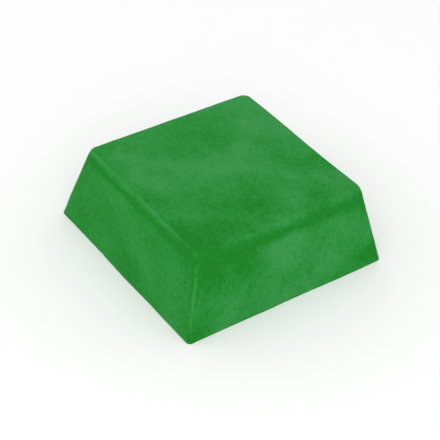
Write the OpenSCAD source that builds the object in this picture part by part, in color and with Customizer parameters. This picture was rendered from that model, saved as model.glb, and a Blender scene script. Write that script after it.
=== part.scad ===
// Cue chalk block: one solid cake of pressed chalk, a low square frustum with a
// wide flat base, four sides that lean in, and a smaller flat face on top that is
// rubbed on the cue tip. There is nothing inside it and nothing on it moves.
// +Z is up, and the origin is the centre of the base.

/* [Block] */
// Width of the base, along X and along Y
base_w = 33; // [24:0.5:48]
// Height from the base to the top face
height = 12.1; // [8:0.1:24]
// Angle that each side leans in from upright
draft = 11.9; // [0:0.1:20]

/* [Edges] */
// Radius along the four edges of the top face
top_edge_r = 1.2; // [0.6:0.1:2.4]
// Radius down the four slanting corners
corner_r = 1.1; // [0.3:0.1:1.4]
// Sides in a full circle of a rounded edge
round_fn = 96; // [32:8:160]

/* [Hidden] */
chalk_green = "#308D3D";
// How far a side leans in over the whole height
lean_in = height * tan(draft);
// Width of the top face, measured where its sharp edges would be
top_w = base_w - 2 * lean_in;
// A slanting corner leans by lean_in along X and along Y at once
corner_lean = atan(lean_in * sqrt(2) / height);
corner_len = sqrt(height * height + 2 * lean_in * lean_in);
// The angle inside the solid at a top edge, and at a slanting corner
top_edge_angle = 90 + draft;
corner_angle = 180 - acos(pow(sin(draft), 2));
// A rounding cylinder reaches this fraction of its radius towards each face it
// meets, so that it crosses the face at a slight angle and isn't just touching it
tuck = 0.985;

// The outline of the block from one side, swept well past it both ways
module swept_outline() {
    half_base = base_w / 2;
    half_top = top_w / 2;
    linear_extrude(height = 2 * base_w, center = true)
        polygon([[-half_base, 0], [half_base, 0], [half_top, height], [-half_top, height]]);
}

// What comes off a sharp edge to round it. The edge lies along +Z from the
// origin, and the solid is on its -X side, with the same angle either side of X
module edge_relief(r, angle, length) {
    axis_in = tuck * r / sin(angle / 2);
    chord_in = axis_in * pow(cos(angle / 2), 2);
    difference() {
        translate([-chord_in, -2 * r, -2 * r])
            cube([4 * r, 4 * r, length + 4 * r]);
        translate([-axis_in, 0, -3 * r])
            cylinder(r = r, h = length + 6 * r, $fn = round_fn);
    }
}

// The top face's edge on the +X side
module top_edge_relief() {
    translate([top_w / 2, top_w / 2, height])
        rotate([90, 0, 0])
            rotate([0, 0, top_edge_angle / 2])
                edge_relief(top_edge_r, top_edge_angle, top_w);
}

// The slanting corner between the +X and +Y sides
module corner_relief() {
    translate([base_w / 2, base_w / 2, 0])
        rotate([0, 0, 45])
            rotate([0, -corner_lean, 0])
                edge_relief(corner_r, corner_angle, corner_len);
}

module chalk_block() {
    color(chalk_green)
        difference() {
            intersection() {
                rotate([90, 0, 0]) swept_outline();
                rotate([90, 0, 90]) swept_outline();
            }
            for (turn = [0:90:270])
                rotate([0, 0, turn]) {
                    top_edge_relief();
                    corner_relief();
                }
        }
}

chalk_block();
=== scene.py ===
import math
import bpy
import numpy as np
from mathutils import Matrix, Vector


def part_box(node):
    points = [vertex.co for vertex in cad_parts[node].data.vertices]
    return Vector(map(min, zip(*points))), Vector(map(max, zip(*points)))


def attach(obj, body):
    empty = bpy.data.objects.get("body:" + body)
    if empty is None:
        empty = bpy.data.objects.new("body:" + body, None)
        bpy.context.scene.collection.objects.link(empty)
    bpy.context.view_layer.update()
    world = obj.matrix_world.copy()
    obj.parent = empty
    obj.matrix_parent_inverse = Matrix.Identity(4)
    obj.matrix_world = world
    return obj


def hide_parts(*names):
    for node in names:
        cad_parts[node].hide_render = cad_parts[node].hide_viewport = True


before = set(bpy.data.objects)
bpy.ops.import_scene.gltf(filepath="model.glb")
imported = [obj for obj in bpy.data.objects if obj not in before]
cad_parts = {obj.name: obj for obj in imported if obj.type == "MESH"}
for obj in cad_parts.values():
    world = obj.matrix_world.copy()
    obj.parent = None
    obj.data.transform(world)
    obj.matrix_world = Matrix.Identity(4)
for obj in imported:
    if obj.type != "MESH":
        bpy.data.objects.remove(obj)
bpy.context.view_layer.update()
mm = 0.001
cadLow, cadHigh = (np.array(corner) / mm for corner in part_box("chalk_block"))
baseHalf = (cadHigh[0] - cadLow[0]) / 2
height = cadHigh[2] - cadLow[2]
print("frame loaded:", ", ".join(sorted(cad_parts)))


def fromHex(text):
    # sRGB hex to linear: c / 12.92 below 0.04045, else ((c + 0.055) / 1.055) ^ 2.4
    parts = [int(text[i:i + 2], 16) / 255 for i in (1, 3, 5)]
    return tuple(c / 12.92 if c < 0.04045 else ((c + 0.055) / 1.055) ** 2.4 for c in parts) + (1.0,)


def addNode(tree, kind, settings=None, inputs=None):
    # An input is a plain value, or an output socket of another node, which is linked
    node = tree.nodes.new(kind)
    for name, value in (settings or {}).items():
        setattr(node, name, value)
    for name, value in (inputs or {}).items():
        if isinstance(value, bpy.types.NodeSocket):
            tree.links.new(value, node.inputs[name])
        else:
            node.inputs[name].default_value = value
    return node


# Camera: stands in front and to the left, looks down, and is tilted a little
view = {
    "azimuth": -37.2,  # degrees round from the front
    "elevation": 38.8,  # degrees above the table
    "roll": 3.5,  # degrees, the right side held up
    "distance": 191.0,  # mm
    "aim": (-1.0, -1.2, 4.1),  # mm, the point that it looks at
    "lens": 110.5,  # mm
    "sensor": 36,  # mm wide
    "nearest": 10.0,  # mm, nothing nearer than this is drawn
}


def directionFrom(azimuth, elevation):
    # (sin a cos e, -cos a cos e, sin e)
    a, e = math.radians(azimuth), math.radians(elevation)
    return Vector((math.sin(a) * math.cos(e), -math.cos(a) * math.cos(e), math.sin(e)))


def addCamera(v):
    back = directionFrom(v["azimuth"], v["elevation"])
    level = Vector((0, 0, 1)).cross(back).normalized()
    right = Matrix.Rotation(math.radians(v["roll"]), 3, back) @ level
    up = back.cross(right)
    data = bpy.data.cameras.new("camera")
    data.lens = v["lens"]
    data.sensor_width = v["sensor"]
    data.clip_start = v["nearest"] * mm
    camera = bpy.data.objects.new("camera", data)
    turn = Matrix((right, up, back)).transposed().to_4x4()
    place = (Vector(v["aim"]) + back * v["distance"]) * mm
    camera.matrix_world = Matrix.Translation(place) @ turn
    bpy.context.collection.objects.link(camera)
    bpy.context.scene.camera = camera


addCamera(view)
bpy.context.scene.view_settings.view_transform = "Standard"
print("camera placed")

# The block, in mm. Its width and height are the CAD block's own
block = {
    "draft": 11.9,  # degrees that a side leans in
    "footRadius": 0.1,  # round the edge of the base
    "sideReach": 2.0,  # the top edge starts to turn this far down the side
    "topReach": 0.5,  # and is flat again this far in on the top face
    "fullness": 0.8,  # of the turn, where 1 is fuller than a round arc
    "cornerRadius": (0.6, 1.8),  # at the foot and at the head of a slanting corner
    "cells": 192,  # across the top face; a multiple of 4
    "crowding": 0.2,  # how far the cells crowd towards the corners
    "footRings": 3,
    "sideRings": 52,
    "headRings": 18,
    "baseInset": 1.2,  # width of the band round the underside
}


def blend(start, corner, end, fullness, count):
    # A rounded corner as a weighted quadratic curve:
    # ((1-t)^2 start + 2t(1-t) w corner + t^2 end) / ((1-t)^2 + 2t(1-t) w + t^2)
    t = np.linspace(0, 1, count)[:, None]
    a, b, c = (1 - t) ** 2, 2 * t * (1 - t) * fullness, t ** 2
    return (a * np.array(start) + b * np.array(corner) + c * np.array(end)) / (a + b + c)


def wallProfile(b):
    # Up one side as (half-width, height): a small round foot, a straight side, and a head that turns
    # inwards. The corner radius grows evenly with height, then loses what the head has moved in
    lean = math.radians(b["draft"])
    along = np.array((-math.sin(lean), math.cos(lean)))
    foot = np.array((baseHalf, 0.0))
    head = foot + along * height / math.cos(lean)
    footEnd = foot + along * b["footRadius"]
    headStart = head - along * b["sideReach"]
    half, z = np.vstack((
        blend(foot - (b["footRadius"], 0), foot, footEnd, b["fullness"], b["footRings"]),
        np.linspace(footEnd, headStart, b["sideRings"])[1:-1],
        blend(headStart, head, head - (b["topReach"], 0), b["fullness"], b["headRings"]),
    )).T
    narrow, wide = b["cornerRadius"]
    movedIn = np.where(z > headStart[1], headStart[0] - half, 0)
    radius = narrow + (wide - narrow) * z / height - movedIn
    return half, z, np.maximum(radius, 0)


def crowded(count, crowding):
    # From -1 to 1, closer together towards the ends: s + k s (1 - s^2)
    s = np.linspace(-1, 1, count + 1)
    return s + crowding * s * (1 - s * s)


def sidePoint(s, half, radius):
    # A side of a rounded square, from mid-corner to mid-corner as s runs from -1 to 1. At
    # d = |s| (half - r + r pi/4) along it, with a = what is left after the straight / r:
    # along = min(d, half - r) + r sin a, out = half - r (1 - cos a)
    d = np.abs(s) * (half - radius + radius * math.pi / 4)
    straight = np.minimum(d, half - radius)
    a = (d - straight) / np.maximum(radius, 1e-6)
    return np.sign(s) * (straight + radius * np.sin(a)), half - radius * (1 - np.cos(a))


def roundedSquare(half, radius, cells, crowding):
    # The four sides in turn, each a quarter turn on from the last: (x, y) to (-y, x)
    s = crowded(cells, crowding)[None, :-1]
    along, out = sidePoint(s, half[:, None], radius[:, None])
    sides = ((along, -out), (out, along), (-along, out), (-out, -along))
    return np.concatenate([np.stack(side, -1) for side in sides], axis=1)


def patchIndex(ring, first):
    # Point numbers of a square patch: the ring round it, and new points inside
    n = len(ring) // 4
    index = np.empty((n + 1, n + 1), int)
    index[0, :] = ring[:n + 1]
    index[:, n] = ring[n:2 * n + 1]
    index[n, ::-1] = ring[2 * n:3 * n + 1]
    index[::-1, 0] = np.append(ring[3 * n:], ring[0])
    index[1:n, 1:n] = first + np.arange((n - 1) ** 2).reshape(n - 1, n - 1)
    return index


def patchPoints(half, radius, n, crowding, level):
    # The inside points of a flat patch, on rounded squares that shrink evenly towards the middle:
    # a point at (u, v) lies on the square of size max(|u|, |v|), at the smaller of them / size along it
    line = crowded(n, crowding)[1:-1]
    u, v = np.meshgrid(line, line)
    size = np.maximum(np.maximum(np.abs(u), np.abs(v)), 1e-9)
    acrossY = np.abs(v) >= np.abs(u)
    along, out = sidePoint(np.where(acrossY, u, v) / size, half * size, radius * size)
    x = np.where(acrossY, along, np.sign(u) * out)
    y = np.where(acrossY, np.sign(v) * out, along)
    return np.stack((x, y, np.full_like(x, level)), -1).reshape(-1, 3)


def quads(index):
    # Four-sided faces from a grid of point numbers: the corners of each cell, in turn
    return np.stack((index[:-1, :-1], index[:-1, 1:], index[1:, 1:], index[1:, :-1]), -1).reshape(-1, 4)


def blockSurface(b):
    # The wall profile carried round a rounded square, a fine patch on top,
    # and under it a band that steps down to a patch four times as coarse
    cells, coarse, crowding = b["cells"], b["cells"] // 4, b["crowding"]
    half, z, radius = wallProfile(b)
    outline = roundedSquare(half, radius, cells, crowding)
    levels = np.broadcast_to(z[:, None, None], outline.shape[:2] + (1,))
    walls = np.concatenate((outline, levels), -1)
    wallIndex = np.arange(len(half) * 4 * cells).reshape(len(half), -1)
    closed = np.concatenate((wallIndex, wallIndex[:, :1]), 1)
    top = patchPoints(half[-1], radius[-1], cells, crowding, height)
    innerHalf = np.array([half[0] - b["baseInset"]])
    inner = roundedSquare(innerHalf, np.zeros(1), coarse, crowding)[0]
    inner = np.concatenate((inner, np.zeros((len(inner), 1))), 1)
    under = patchPoints(innerHalf[0], 0.0, coarse, crowding, 0.0)
    firstTop = wallIndex.size
    firstInner = firstTop + len(top)
    innerRing = firstInner + np.arange(4 * coarse)
    topIndex = patchIndex(wallIndex[-1], firstTop)
    underIndex = patchIndex(innerRing, firstInner + len(inner))
    nextInner = np.roll(innerRing, -1)
    outer = [closed[0, 4 * np.arange(4 * coarse) + k] for k in range(5)]
    fans = (
        (innerRing, nextInner, outer[2]), (innerRing, outer[2], outer[1]), (innerRing, outer[1], outer[0]),
        (nextInner, outer[4], outer[3]), (nextInner, outer[3], outer[2]),
    )
    faces = quads(closed).tolist() + quads(topIndex).tolist() + quads(underIndex)[:, ::-1].tolist()
    for fan in fans:
        faces += np.stack(fan, -1).tolist()
    points = np.concatenate((walls.reshape(-1, 3), top, inner, under))
    return points, faces


def waves(points, wavelength, seed, count=28, spread=(0.7, 1.4)):
    # Soft noise with a spread of about 1, over random directions d, lengths and phases:
    # sum cos(2 pi p.d / length + phase) / sqrt(count / 2)
    rng = np.random.default_rng(seed)
    direction = rng.normal(size=(count, 3))
    direction /= np.linalg.norm(direction, axis=1)[:, None]
    length = wavelength * rng.uniform(*spread, count)
    phase = rng.uniform(0, 2 * math.pi, count)
    steps = 2 * math.pi * direction / length[:, None]
    return np.cos(points @ steps.T + phase).sum(1) / math.sqrt(count / 2)


def spots(points, places, radius, depth):
    # Round dimples: the sum of depth exp(-(distance / radius)^2)
    total = np.zeros(len(points))
    for place, r, d in zip(places, radius, depth):
        near = ((points - place) ** 2).sum(1)
        total += d * np.exp(-near / r ** 2)
    return total


# What pressing, drying and handling left on the block, in mm
surface = {
    "unevenness": ((15, 0.03), (4, 0.006), (0.9, 0.004)),  # wavelength and height of each wave
    "seamHeight": 0.05,  # the fine raised line down each slanting corner
    "seamWidth": 0.10,
    "seamEnds": (2.5, 10.5),  # heights between which it shows
    "seamFade": (1.0, 0.5),  # half of the length over which it fades, at the lower and the upper end
    "seamReach": (0.86, 0.92),  # shares of the half-width between which it sets in, from side to corner
    "seamWaver": (6, 0.85, 0.12),  # wavelength, mean and swing of its strength
    "grooveDepth": 0.03,  # the shallow hollow on each side of the line
    "grooveAway": 0.42,
    "pits": (  # number, radius from and to, depth from and to
        (420, (0.09, 0.14), (0.03, 0.09)),
        (20, (0.14, 0.22), (0.08, 0.14)),
    ),
    "footClear": 0.5,  # no pits below this height
    "edgeClear": 0.7,  # no pits within this of the top edge, as seen from above
    "drifts": (6, 0.6, 0.15, 1.6),  # wavelength, mean, least and most of how thickly the pits lie
    "scratches": 7,  # on the top face
    "scratchReach": 0.75,  # share of the half-width, where their middles lie
    "scratchLength": (1.0, 4.0),
    "scratchWidth": 0.12,
    "scratchDepth": 0.07,
    "nicks": (26, (0.20, 0.45), (0.01, 0.03)),  # along the foot
    "nickBand": 0.2,  # their middles are this close to the edge of the base
    "knocks": (  # signs of x and y of the corner, mm below the top, radius, depth
        (-1, -1, 1.5, 0.35, 0.12),
    ),
    "knockInset": 0.5,  # the middle of a knock is this far in from the sharp corner, along X and Y
    "dragDepth": 0.05,  # drag marks under the base
    "dragSpacing": 2.6,
    "dragSqueeze": 0.12,  # lengths along X count for this much, which draws the noise out into lines
    "dragWaver": (0.5, 0.25, 2),  # mean and swing of their depth, and the most noise that counts
    "dragFade": (0.1, 1.5),  # distances from the edge of the base between which they set in
    "baseLevel": 0.001,  # points below this height belong to the base
    "shadeDepth": (0.01, 0.13),  # pits are shaded from the first depth, and fully at the second
    "seed": 11,  # each noise and each set of spots counts on from it
}


def ramp(value, low, high):
    # 0 below low, 1 above high, smooth between: t^2 (3 - 2t)
    t = np.clip((value - low) / (high - low), 0, 1)
    return t * t * (3 - 2 * t)


def halfAt(z):
    # Half-width of the block at height z: baseHalf - z tan(draft)
    return baseHalf - z * math.tan(math.radians(block["draft"]))


def unevenness(points, amounts, seed):
    # A sum of soft noises, each with its own wavelength and height
    total = np.zeros(len(points))
    for step, (wavelength, amount) in enumerate(amounts):
        total += amount * waves(points, wavelength, seed + step)
    return total


def dimples(points, amounts, chance, rng):
    # Dimples at random points, more of them where the chance is higher
    count, radius, depth = amounts
    chosen = rng.choice(len(points), count, replace=False, p=chance / chance.sum())
    return spots(points, points[chosen], rng.uniform(*radius, count), rng.uniform(*depth, count))


def cornerSeam(points, s):
    # At d = (|x| - |y|) / sqrt 2 off the corner, a ridge exp(-(d / width)^2) and a groove
    # exp(-((|d| - away) / width)^2) on each side. Both fade out at the ends, and away from the corner
    x, y, z = points.T
    across = (np.abs(x) - np.abs(y)) / math.sqrt(2)
    onCorner = ramp(np.minimum(np.abs(x), np.abs(y)) / halfAt(z), *s["seamReach"])
    bottom, top = s["seamEnds"]
    lower, upper = s["seamFade"]
    wavelength, mean, swing = s["seamWaver"]
    reach = onCorner * ramp(z, bottom - lower, bottom + lower) * (1 - ramp(z, top - upper, top + upper))
    reach *= mean + swing * waves(points, wavelength, s["seed"] + 20)
    ridge = np.exp(-(across / s["seamWidth"]) ** 2)
    groove = np.exp(-((np.abs(across) - s["grooveAway"]) / s["seamWidth"]) ** 2)
    return reach * ridge, reach * groove


def pitting(points, s):
    # How deep each point is sunk, by dimples at random points. Their chance is mean + noise, kept
    # between the least and the most, and 0 near the foot, near the top edge and under the base
    rng = np.random.default_rng(s["seed"])
    wavelength, mean, least, most = s["drifts"]
    fromEdge = np.abs(points[:, :2]).max(1) - halfAt(height)
    allowed = (points[:, 2] > s["footClear"]) & (np.abs(fromEdge) > s["edgeClear"])
    drifts = np.clip(mean + waves(points, wavelength, s["seed"] + 22), least, most) * allowed
    return sum(dimples(points, amounts, drifts, rng) for amounts in s["pits"])


def topScratches(points, s, rng):
    # Short straight marks: depth exp(-(distance to the stretch / width)^2)
    total = np.zeros(len(points))
    reach = s["scratchReach"]
    for _ in range(s["scratches"]):
        middle = np.append(rng.uniform(-reach, reach, 2) * halfAt(height), height)
        angle = rng.uniform(0, math.pi)
        run = np.array((math.cos(angle), math.sin(angle), 0)) * rng.uniform(*s["scratchLength"])
        t = np.clip((points - middle) @ run / (run @ run), -0.5, 0.5)[:, None]
        away = ((points - middle - t * run) ** 2).sum(1)
        total += s["scratchDepth"] * np.exp(-away / s["scratchWidth"] ** 2)
    return total


def dragMarks(points, s):
    # Shallow lines along X, cut up into the base: -depth (mean + swing noise), fading out at its edge
    mean, swing, most = s["dragWaver"]
    wave = waves(points * (s["dragSqueeze"], 1, 1), s["dragSpacing"], s["seed"] + 21)
    inside = baseHalf - np.abs(points[:, :2]).max(1)
    return -s["dragDepth"] * (mean + swing * np.clip(wave, -most, most)) * ramp(inside, *s["dragFade"])


def relief(points, s, pits, ridge, groove):
    # How far each point moves out along its normal: unevenness and seam, less pits, grooves, nicks,
    # scratches and knocks. The base has only its drag marks
    rng = np.random.default_rng(s["seed"] + 1)
    z = points[:, 2]
    band, inset = s["nickBand"], s["knockInset"]
    out = unevenness(points, s["unevenness"], s["seed"]) - pits
    out += s["seamHeight"] * ridge - s["grooveDepth"] * groove
    atFoot = (z < band) & (np.abs(points[:, :2]).max(1) > baseHalf - band)
    out -= dimples(points, s["nicks"], atFoot.astype(float), rng)
    out -= topScratches(points, s, rng)
    for xSign, ySign, below, radius, depth in s["knocks"]:
        onCorner = halfAt(height - below) - inset
        out -= spots(points, [(xSign * onCorner, ySign * onCorner, height - below)], [radius], [depth])
    return np.where(z < s["baseLevel"], dragMarks(points, s), out)


# The pale waxy bloom, with painted shade below the top edge and painted highlight on the crest and seam
# laid into the same value: 0 is bare chalk, 0.5 the usual film, 1 thick bloom and 1.25 a fresh scuff.
# A value that differs by side is a pair, for the sides that face along X and then along Y
filmAndLight = {
    "patches": (60, (1.2, 4.2), (-0.8, 0.8)),  # number, radius in mm, strength
    "smears": (7.0, 0.35),  # wavelength in mm, and strength
    "smearTurn": -37,  # degrees from X, the way the block was wiped
    "smearStretch": 2.6,  # times as long that way
    "mottle": ((3.0, 0.10), (0.5, 0.13)),  # wavelength in mm, and strength
    "scuffs": (110, (0.10, 0.20), (0.10, 0.4)),  # number, radius in mm, strength
    "footClear": 0.5,  # mm, no patch or scuff is centred below this height
    "thickest": 1.25,  # where the colours of the chalk end, too
    "topFilm": 0.70,
    "topEdge": (0.5, 0.1),  # mm below the top, between which the sides' film gives way to the top's
    "paleAway": 0.36,  # the top face is paler away from its front corner
    "rubbed": (8.0, 0.55),  # radius and strength, where tips have rubbed the middle of the top
    "thinAway": 1.2,  # mm in from the two front edges of the top, where the film is worn thin
    "thinWidth": 1.8,
    "thinStrength": (0.75, 0.50),
    "thinSetsIn": (-0.35, 0.15),  # from back to front, where 0 is the middle and 1 the front corner
    "sideFilm": (-0.20, 0.05),
    "sideSlope": (0.0, 0.3),  # thicker towards the foot
    "sideContrast": (0.6, 1.5),
    "sideBlend": 0.6,  # a side gives way to the next while |x| and |y| differ by less than this, in mm
    "shadeBandDepth": (1.05, 1.42),  # mm below the top, where a band of painted shade lies under the turned edge
    "shadeBandWidth": (0.50, 1.12),
    "shadeBandWaver": (6, 0.06),  # wavelength and swing of its width
    "shadeBandCut": 0.9,  # share of the film so far that it takes away
    "shadeBandStrength": 1.1,
    "crestAway": 0.38,  # mm in from the sharp edge, the line of painted highlight
    "crestWidth": (0.14, 0.30),
    "crestStrength": (0.92, -0.05),
    "crestWaver": (5, 0.3),  # wavelength and swing of its strength
    "crestDepth": 0.8,  # mm below the top, where it ends
    # Painted highlight on the raised seam line, and painted shade in its grooves
    "seamHighlight": 1.6,
    "grooveShadeShare": 0.4,  # of that strength, by which the grooves get painted shade
    "seed": 23,  # as above
}


def smears(points, f):
    # Soft noise stretched along the way of wiping: that way is divided by smearStretch
    turn = math.radians(f["smearTurn"])
    way = np.array((math.cos(turn), math.sin(turn), 0))
    along = points @ way
    squeezed = points - np.outer(along * (1 - 1 / f["smearStretch"]), way)
    wavelength, strength = f["smears"]
    return strength * waves(squeezed, wavelength, f["seed"] + 30)


def bySide(pair, facesX):
    # A mix of two values: the first where facesX is 1, the second where it is 0
    return pair[0] * facesX + pair[1] * (1 - facesX)


def inFromEdge(points):
    # How far a point is inside the sharp top edge: halfAt(height) - max(|x|, |y|)
    return halfAt(height) - np.abs(points[:, :2]).max(1)


def topLevel(points, f, facesX):
    # The film on the top face: rising evenly away from the front corner, less a round rubbed patch
    # exp(-(r / radius)^2) and a worn line exp(-((d - away) / width)^2) inside the two front edges
    x, y = points[:, 0], points[:, 1]
    backwards = (x + y) / (2 * halfAt(height))
    radius, strength = f["rubbed"]
    level = f["topFilm"] + f["paleAway"] * backwards
    level -= strength * np.exp(-(x * x + y * y) / radius ** 2)
    worn = np.exp(-((inFromEdge(points) - f["thinAway"]) / f["thinWidth"]) ** 2)
    return level - bySide(f["thinStrength"], facesX) * ramp(-backwards, *f["thinSetsIn"]) * worn


def paintedShadeBand(points, f, facesX):
    # A band of painted shade exp(-((z - height + depth) / width)^2) round the sides just below the top
    # edge, of wavering width
    wavelength, swing = f["shadeBandWaver"]
    width = bySide(f["shadeBandWidth"], facesX) * (1 + swing * waves(points, wavelength, f["seed"] + 20))
    return np.exp(-((points[:, 2] - height + bySide(f["shadeBandDepth"], facesX)) / width) ** 2)


def crestHighlight(points, f, facesX):
    # A painted highlight line exp(-((d - away) / width)^2) just inside the top edge, of wavering strength
    wavelength, swing = f["crestWaver"]
    line = np.exp(-((inFromEdge(points) - f["crestAway"]) / bySide(f["crestWidth"], facesX)) ** 2)
    line *= points[:, 2] > height - f["crestDepth"]
    waver = 1 + swing * waves(points, wavelength, f["seed"] + 21)
    return line * bySide(f["crestStrength"], facesX) * waver


def filmAndLightAmount(points, f, ridge, groove):
    # Patches, smears and mottling on the level of the top or of the sides, less a band of painted shade
    # below the top edge, plus painted highlight on the crest and seam and painted shade in the seam's
    # grooves. 0.5 + amount / 2 is kept from 0 to 1, and then scuffs are added
    rng = np.random.default_rng(f["seed"])
    x, y, z = points.T
    turned = ramp(np.abs(x) - np.abs(y), -f["sideBlend"], f["sideBlend"])
    facesX = np.where(z < surface["baseLevel"], 0.5, turned)  # the base is even
    marked = (z > f["footClear"]).astype(float)
    amount = dimples(points, f["patches"], marked, rng) + smears(points, f)
    amount += unevenness(points, f["mottle"], f["seed"])
    below, nearly = f["topEdge"]
    onTop = ramp(z, height - below, height - nearly)
    onSides = amount * bySide(f["sideContrast"], facesX) + bySide(f["sideFilm"], facesX)
    onSides += bySide(f["sideSlope"], facesX) * (1 - 2 * z / height)
    amount = onTop * (amount + topLevel(points, f, facesX)) + (1 - onTop) * onSides
    # A band of painted shade just below the top edge, which takes film away
    shadeBand = paintedShadeBand(points, f, facesX)
    amount = amount * (1 - f["shadeBandCut"] * shadeBand) - f["shadeBandStrength"] * shadeBand
    # Painted highlight along the crest of the top edge
    amount += crestHighlight(points, f, facesX)
    # Painted highlight on the seam and painted shade in its grooves
    amount += f["seamHighlight"] * (ridge - f["grooveShadeShare"] * groove)
    scuffed = dimples(points, f["scuffs"], marked, rng)
    return np.clip(np.clip(0.5 + 0.5 * amount, 0, 1) + scuffed, 0, f["thickest"])


def addBlock():
    # The plain surface, moved out or in along its normals. Film with its painted shade and highlight, and
    # painted shade in the pits, go with it as one value at each point
    points, faces = blockSurface(block)
    mesh = bpy.data.meshes.new("chalkBlock")
    mesh.from_pydata((points * mm).tolist(), [], faces)
    normal = np.empty(len(points) * 3)
    mesh.vertices.foreach_get("normal", normal)
    pits = pitting(points, surface)
    ridge, groove = cornerSeam(points, surface)
    moved = relief(points, surface, pits, ridge, groove)
    shaped = points + normal.reshape(-1, 3) * moved[:, None]
    shaped[:, 2] = np.maximum(shaped[:, 2], 0)
    mesh.vertices.foreach_set("co", (shaped * mm).ravel())
    # The film value, which also holds painted shade below the top edge and painted highlight on the crest
    # and seam
    bloomAndLight = mesh.attributes.new("bloomAndLight", "FLOAT", "POINT")
    bloomAndLight.data.foreach_set("value", filmAndLightAmount(points, filmAndLight, ridge, groove))
    shade = mesh.attributes.new("shade", "FLOAT", "POINT")
    shade.data.foreach_set("value", ramp(pits, *surface["shadeDepth"]))
    mesh.update()
    mesh.shade_smooth()
    piece = bpy.data.objects.new("chalkBlock", mesh)
    bpy.context.collection.objects.link(piece)
    return piece


piece = addBlock()
print("block:", len(piece.data.polygons), "faces")

# Pressed chalk with a pigment right through. The surface was left dry and matt by the press. A waxy
# film has come out on it as a pale bloom, and hands have wiped it into smears. Pits and pores get painted
# shade, and the film value carries painted shade below the top edge and painted highlight on the crest and
# seam
chalk = {
    "pitShade": "#1B692B",
    "filmAndLight": ((0.0, "#1D7F26"), (0.5, "#2C8C3B"), (1.0, "#3B934B"), (1.25, "#52A462")),  # bare to scuffed
    "roughness": (0.5, 0.65),  # bare, bloomed
    "speckSize": 0.28,  # mm, the grit that shows
    "speckNoise": (0.3, 0.7),  # the noise that makes the darkest and the palest speck
    "speckStrength": 0.23,  # of film that the darkest lacks and the palest adds
    "poreSpacing": 0.6,  # mm
    "poreRadius": 0.12,
    "poreSoftness": 0.6,  # share of the radius from which the rim falls away
    "driftSize": 6.0,  # from one drift of pores to the next
    "driftNoise": (0.48, 0.62),  # the noise between which pores set in
    "poreShade": 0.6,
    "grainSize": 0.16,
    "grainHeight": 0.03,
    "grainStrength": 0.8,
    "refraction": 1.5,
    "shine": 0.02,
}


def remap(tree, value, fromLow, fromHigh, toLow, toHigh):
    return addNode(tree, "ShaderNodeMapRange", {}, {
        "Value": value, "From Min": fromLow, "From Max": fromHigh, "To Min": toLow, "To Max": toHigh,
    }).outputs["Result"]


def combine(tree, operation, first, second):
    return addNode(tree, "ShaderNodeMath", {"operation": operation}, {0: first, 1: second}).outputs[0]


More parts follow.
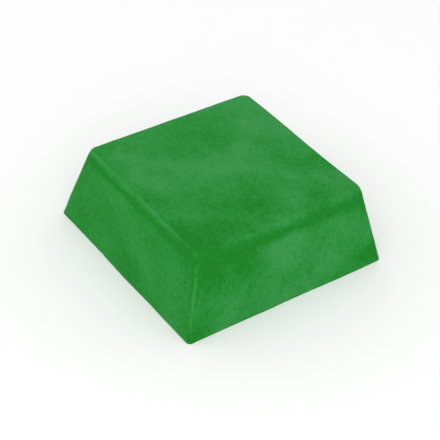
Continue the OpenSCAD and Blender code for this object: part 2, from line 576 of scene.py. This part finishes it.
def pressedChalk(c):
    material = bpy.data.materials.new("pressedChalk")
    material.use_nodes = True
    tree = material.node_tree
    shader = tree.nodes["Principled BSDF"]
    place = addNode(tree, "ShaderNodeTexCoord").outputs["Object"]
    bloomAndLight = addNode(tree, "ShaderNodeAttribute", {"attribute_name": "bloomAndLight"}).outputs["Fac"]
    shade = addNode(tree, "ShaderNodeAttribute", {"attribute_name": "shade"}).outputs["Fac"]

    def noise(size, detail):
        # Light and dark spots are about half of this size across
        return addNode(tree, "ShaderNodeTexNoise", {}, {
            "Vector": place, "Scale": 1 / (size * mm), "Detail": detail}).outputs["Fac"]

    # Pores: small round holes round scattered points, thick in some drifts and missing in others
    scatter = addNode(tree, "ShaderNodeTexVoronoi", {}, {
        "Vector": place, "Scale": 1 / (c["poreSpacing"] * mm)}).outputs["Distance"]
    radius = c["poreRadius"] / c["poreSpacing"]
    pores = combine(tree, "MULTIPLY", remap(tree, scatter, radius * c["poreSoftness"], radius, 1, 0),
                    remap(tree, noise(c["driftSize"], 2), *c["driftNoise"], 0, 1))
    # Specks of grit lighten or darken the film a little, but thick bloom hides the pale ones
    strength = c["speckStrength"]
    speck = remap(tree, noise(2 * c["speckSize"], 3), *c["speckNoise"], -strength, strength)
    amount = combine(tree, "ADD", bloomAndLight, speck)
    amount = combine(tree, "MINIMUM", amount, combine(tree, "MAXIMUM", bloomAndLight, 1.0))
    thickest = c["filmAndLight"][-1][0]
    colour = addNode(tree, "ShaderNodeValToRGB", {}, {"Fac": remap(tree, amount, 0, thickest, 0, 1)})
    stops = colour.color_ramp.elements
    stops[0].color = fromHex(c["filmAndLight"][0][1])
    stops[1].color = fromHex(c["filmAndLight"][-1][1])
    for thickness, shadeOfGreen in c["filmAndLight"][1:-1]:
        stops.new(thickness / thickest).color = fromHex(shadeOfGreen)
    # Painted shade in the pits and pores: the colour is mixed towards a darker green
    dark = combine(tree, "MAXIMUM", shade, combine(tree, "MULTIPLY", pores, c["poreShade"]))
    # The colour sockets of a mix node are numbers 6 and 7 going in and 2 coming out
    shaded = addNode(tree, "ShaderNodeMix", {"data_type": "RGBA"}, {
        "Factor": dark, 6: colour.outputs["Color"], 7: fromHex(c["pitShade"])})
    grain = combine(tree, "SUBTRACT", noise(2 * c["grainSize"], 2), pores)
    bump = addNode(tree, "ShaderNodeBump", {}, {
        "Height": grain, "Strength": c["grainStrength"], "Distance": c["grainHeight"] * mm})
    tree.links.new(shaded.outputs[2], shader.inputs["Base Color"])
    tree.links.new(remap(tree, amount, 0, 1, *c["roughness"]), shader.inputs["Roughness"])
    tree.links.new(bump.outputs["Normal"], shader.inputs["Normal"])
    shader.inputs["IOR"].default_value = c["refraction"]
    shader.inputs["Specular IOR Level"].default_value = c["shine"]
    return material


piece.data.materials.append(pressedChalk(chalk))
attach(piece, "root")
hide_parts("chalk_block")

# The studio: a white table, an even white sky and three square soft lights that face the block
studio = {
    "table": "#FFFFFF",
    "tableSize": 4,  # m
    "tableRoughness": 0.9,
    "sky": 0.8,
    "lights": (  # name, azimuth, elevation, distance m, side m, watts
        ("overhead", 0, 88, 0.6, 0.5, 0.28),
        ("front", -37, 36, 0.7, 0.45, 1.16),
        ("left", -135, 34, 0.6, 0.35, 0.13),
    ),
}


def addStudio(s):
    bpy.ops.mesh.primitive_plane_add(size=s["tableSize"])
    table = bpy.context.object
    table.name = "table"
    material = bpy.data.materials.new("tableTop")
    material.use_nodes = True
    shader = material.node_tree.nodes["Principled BSDF"]
    shader.inputs["Base Color"].default_value = fromHex(s["table"])
    shader.inputs["Roughness"].default_value = s["tableRoughness"]
    table.data.materials.append(material)
    world = bpy.data.worlds.new("studio")
    bpy.context.scene.world = world
    world.use_nodes = True
    world.node_tree.nodes["Background"].inputs["Color"].default_value = (1, 1, 1, 1)
    world.node_tree.nodes["Background"].inputs["Strength"].default_value = s["sky"]
    for name, azimuth, elevation, distance, side, watts in s["lights"]:
        data = bpy.data.lights.new(name, "AREA")
        data.size = side
        data.energy = watts
        light = bpy.data.objects.new(name, data)
        back = directionFrom(azimuth, elevation)
        turn = back.to_track_quat("Z", "Y").to_matrix().to_4x4()
        light.matrix_world = Matrix.Translation(back * distance) @ turn
        bpy.context.collection.objects.link(light)


addStudio(studio)
print("studio lit")
